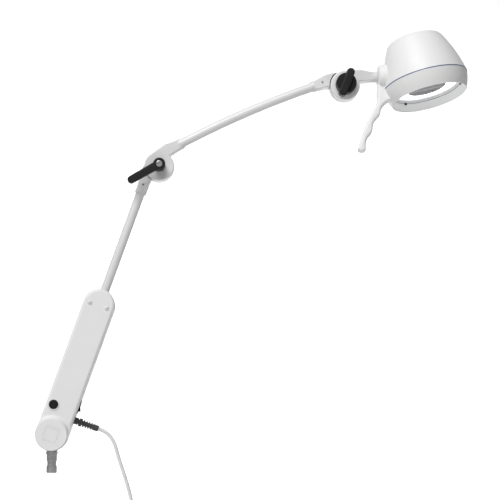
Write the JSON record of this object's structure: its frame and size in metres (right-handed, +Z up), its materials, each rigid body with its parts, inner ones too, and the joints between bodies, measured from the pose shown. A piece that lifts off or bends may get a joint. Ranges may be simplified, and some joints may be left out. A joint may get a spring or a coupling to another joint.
{
  "type": "dental operating light",
  "caption": "White examination lamp with a round ring-lit head on a jointed spring-balanced arm, standing on a grooved spigot pin, with a mains lead.",
  "frame": {"origin": "on the mounting pin's axis, at the shoulder that rests on the socket", "axes": "+Z up along the pin, +X from the pin towards the lamp head, +Y away from the side with the lever, knob and button"},
  "size_m": [0.6609, 0.134, 0.9027],
  "materials": {
    "pin_steel": "fine turned grey metal",
    "bright_steel": "plain zinc-plated or stainless steel",
    "spring_steel": "oiled spring wire",
    "brass_parts": "plain turned brass",
    "bearing_bronze": "sintered bronze",
    "white_metal": "satin white powder coat",
    "white_plastic": "satin white moulded plastic",
    "white_trim": "smooth white plastic",
    "skirt_plastic": "satin pale grey-white plastic",
    "blue_ring": "dark blue gloss",
    "black_plastic": "black satin plastic",
    "black_rubber": "black elastomer",
    "aluminium_parts": "plain machined aluminium",
    "friction_fibre": "dull friction fibre",
    "circuit_board": "green solder mask",
    "components": "dark moulded component bodies",
    "emitters": "phosphor-coated emitters",
    "diffuser": "opal white diffuser, lit",
    "lens": "grey patterned lens",
    "cord_pvc": "pale grey flexible PVC",
    "plug_plastic": "pale grey moulded plastic"
  },
  "bodies": {
    "mount": {"mount_pin": "pin_steel", "pin_circlip": "spring_steel"},
    "turret": {"pivot_hub": "aluminium_parts", "swivel_bush": "bearing_bronze", "thrust_washer": "bearing_bronze", "spring_post": "bright_steel", "axle_bushes": "bearing_bronze"},
    "lower_arm": {"housing_front": "white_plastic", "housing_rear": "white_plastic", "pivot_cap": "white_plastic", "cover_screws": "white_metal", "chassis_plates": "bright_steel", "tube_clamp": "aluminium_parts", "clamp_bolts": "bright_steel", "tilt_axle": "bright_steel", "axle_nuts": "bright_steel", "balance_spring": "spring_steel", "spring_anchor": "bright_steel", "driver_board": "circuit_board", "driver_components": "components", "dimmer_ring": "white_trim", "switch_body": "black_plastic", "strain_relief": "black_rubber", "elbow_lower_knuckle": "white_metal", "lower_set_screw": "bright_steel", "lower_tube": "white_metal", "lower_arm_cable": "cord_pvc", "mains_cord": "cord_pvc", "mains_cord_coil": "cord_pvc", "cord_tie": "black_rubber", "mains_cord_end": "cord_pvc", "plug_body": "plug_plastic", "plug_pins": "brass_parts"},
    "rocker": {"switch_rocker": "black_plastic"},
    "button": {"dimmer_button": "black_plastic"},
    "upper_arm": {"elbow_upper_knuckle": "white_metal", "upper_tube": "white_metal", "upper_arm_cable": "cord_pvc", "elbow_friction_disc": "friction_fibre", "elbow_bolt": "bright_steel", "head_end_knuckle": "white_metal", "head_end_set_screw": "bright_steel"},
    "lever": {"clamp_lever": "black_plastic", "lever_screw": "bright_steel"},
    "neck": {"neck_knuckle": "white_metal", "head_friction_disc": "friction_fibre", "head_joint_bolt": "bright_steel", "neck_spindle": "bright_steel", "spindle_nut": "brass_parts"},
    "knob": {"head_knob": "black_plastic"},
    "head": {"shade": "white_plastic", "seam_ring": "blue_ring", "skirt_ring": "skirt_plastic", "trim_ring": "white_trim", "light_ring": "diffuser", "centre_lens": "lens", "led_board": "circuit_board", "led_chips": "emitters", "heat_sink": "aluminium_parts", "handle": "white_plastic"}
  },
  "joints": [
    {"name": "base_swivel", "type": "hinge", "parent": "mount", "child": "turret", "pos_m": [0, 0, 0], "axis": [0, 0, 1], "range_deg": [-175, 175]},
    {"name": "arm_tilt", "type": "hinge", "parent": "turret", "child": "lower_arm", "pos_m": [0, 0, 0.0284], "axis": [0, 1, 0], "range_deg": [-39, 50], "deforming": ["balance_spring"]},
    {"name": "rocker_switch", "type": "hinge", "parent": "lower_arm", "child": "rocker", "pos_m": [0.03915, 0, 0.07], "axis": [0, 1, 0], "range_deg": [0, 24]},
    {"name": "dimmer_press", "type": "slide", "parent": "lower_arm", "child": "button", "axis": [0, 1, 0], "range_m": [0, 0.0011], "stiffness_N_per_m": 600, "springref_m": -0.0006},
    {"name": "elbow", "type": "hinge", "parent": "lower_arm", "child": "upper_arm", "pos_m": [0.15695, 0, 0.43635], "axis": [0, 1, 0], "range_deg": [-60, 95]},
    {"name": "elbow_lever", "type": "hinge", "parent": "upper_arm", "child": "lever", "pos_m": [0.15695, 0, 0.43635], "axis": [0, 1, 0], "range_deg": [-45, 45]},
    {"name": "head_tilt", "type": "hinge", "parent": "upper_arm", "child": "neck", "pos_m": [0.444, 0, 0.56626], "axis": [0, 1, 0], "range_deg": [-44, 65]},
    {"name": "head_knob_turn", "type": "hinge", "parent": "neck", "child": "knob", "pos_m": [0.444, 0, 0.56626], "axis": [0, 1, 0], "range_deg": [-90, 90]},
    {"name": "head_swivel", "type": "hinge", "parent": "neck", "child": "head", "pos_m": [0.514, 0, 0.58226], "axis": [1, 0, 0], "range_deg": [-90, 90]}
  ]
}
